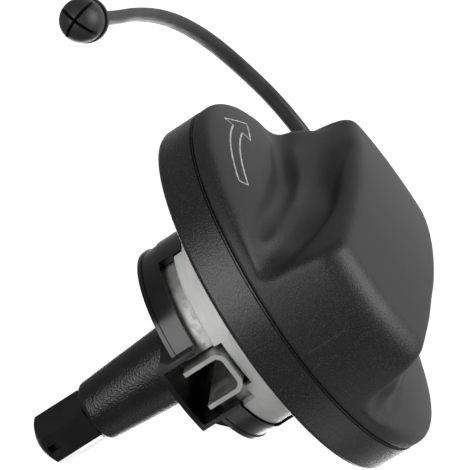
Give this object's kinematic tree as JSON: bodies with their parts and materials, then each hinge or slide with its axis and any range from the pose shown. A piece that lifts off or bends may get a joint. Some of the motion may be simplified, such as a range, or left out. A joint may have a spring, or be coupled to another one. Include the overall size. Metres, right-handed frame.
{
  "type": "fuel cap",
  "caption": "Quarter-turn fuel cap with a finger-grip cover, click ratchet, sprung bayonet bar, relief valve, neck seal and a moulded tether strap ending in a push-in button.",
  "frame": {"origin": "centre of the seal's lower face, in the plane of the filler neck's rim", "axes": "+Z along the cap's axis out of the tank towards the grip, +X along the grip bar"},
  "size_m": [0.1597, 0.1132, 0.0928],
  "materials": {
    "cover_plastic": "fine moulded grain, dark grey",
    "closure_plastic": "smooth natural white moulding",
    "acetal": "smooth natural moulding",
    "seal_rubber": "matt black",
    "valve_rubber": "matt black",
    "plated_steel": "zinc plated, slightly mottled",
    "spring_steel": "drawn wire, bright",
    "cage_plastic": "smooth black moulding",
    "tether_plastic": "satin black, slightly soft"
  },
  "bodies": {
    "closure": {"closure_body": "closure_plastic", "main_seal": "seal_rubber", "ratchet_ring": "acetal", "snap_ring": "spring_steel", "steel_sleeve": "plated_steel", "stem_cage": "cage_plastic", "stem_tip": "cage_plastic", "bayonet_spring": "spring_steel", "valve_cap": "acetal", "pressure_spring": "spring_steel"},
    "handle": {"grip_cover": "cover_plastic", "skirt_ring": "cover_plastic", "pawl_ring": "acetal"},
    "bayonet": {"bayonet_bar": "plated_steel"},
    "pressure_valve": {"pressure_plate": "plated_steel", "pressure_seal": "seal_rubber", "vacuum_spring": "spring_steel"},
    "vacuum_valve": {"vacuum_valve": "valve_rubber", "vacuum_clip": "spring_steel"},
    "tether": {"tether_ring": "tether_plastic", "tether_strap": "tether_plastic", "tether_button": "tether_plastic"}
  },
  "joints": [
    {"name": "handle_turn", "type": "hinge", "parent": "closure", "child": "handle", "pos_m": [0, 0, 0], "axis": [0, 0, 1], "continuous": true},
    {"name": "tether_turn", "type": "hinge", "parent": "closure", "child": "tether", "pos_m": [0, 0, 0], "axis": [0, 0, 1], "continuous": true},
    {"name": "bayonet_slide", "type": "slide", "parent": "closure", "child": "bayonet", "axis": [0, 0, 1], "range_m": [-0.0028, 0], "stiffness_N_per_m": 2000, "deforming": ["bayonet_spring"]},
    {"name": "pressure_slide", "type": "slide", "parent": "closure", "child": "pressure_valve", "axis": [0, 0, 1], "range_m": [0, 0.0025], "stiffness_N_per_m": 800, "deforming": ["pressure_spring"]},
    {"name": "vacuum_slide", "type": "slide", "parent": "pressure_valve", "child": "vacuum_valve", "axis": [0, 0, 1], "range_m": [-0.0015, 0], "stiffness_N_per_m": 300, "deforming": ["vacuum_spring"]}
  ]
}
